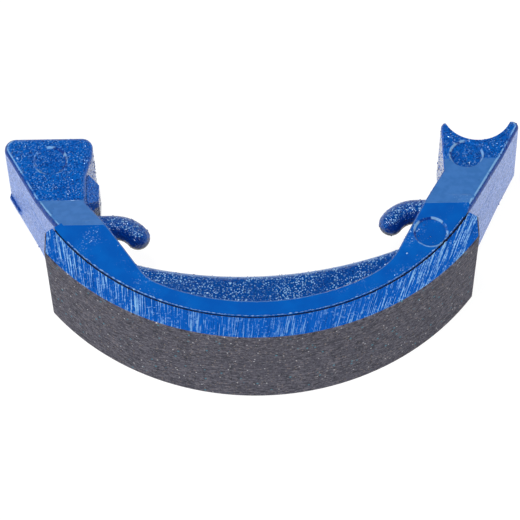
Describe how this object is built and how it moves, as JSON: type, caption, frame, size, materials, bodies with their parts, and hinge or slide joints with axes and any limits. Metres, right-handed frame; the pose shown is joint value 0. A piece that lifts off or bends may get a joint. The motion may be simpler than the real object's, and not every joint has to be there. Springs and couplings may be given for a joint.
{
  "type": "brake shoe",
  "caption": "Die-cast drum brake shoe with bonded friction lining, flat cam pad, half-round pivot seat, central web and two spring horns.",
  "frame": {"origin": "on the drum's axis, in the plane of the shoe's lower side faces", "axes": "+X from the cam end towards the pivot end, -Y from the drum's axis towards the middle of the lining, +Z along the drum's axis"},
  "size_m": [0.0876, 0.0429, 0.0198],
  "materials": {
    "blue_paint": "gloss",
    "friction_material": "matte",
    "adhesive": "matte"
  },
  "bodies": {
    "root": {"shoe_casting": "blue_paint", "friction_lining": "friction_material", "bond_film": "adhesive"}
  },
  "joints": []
}
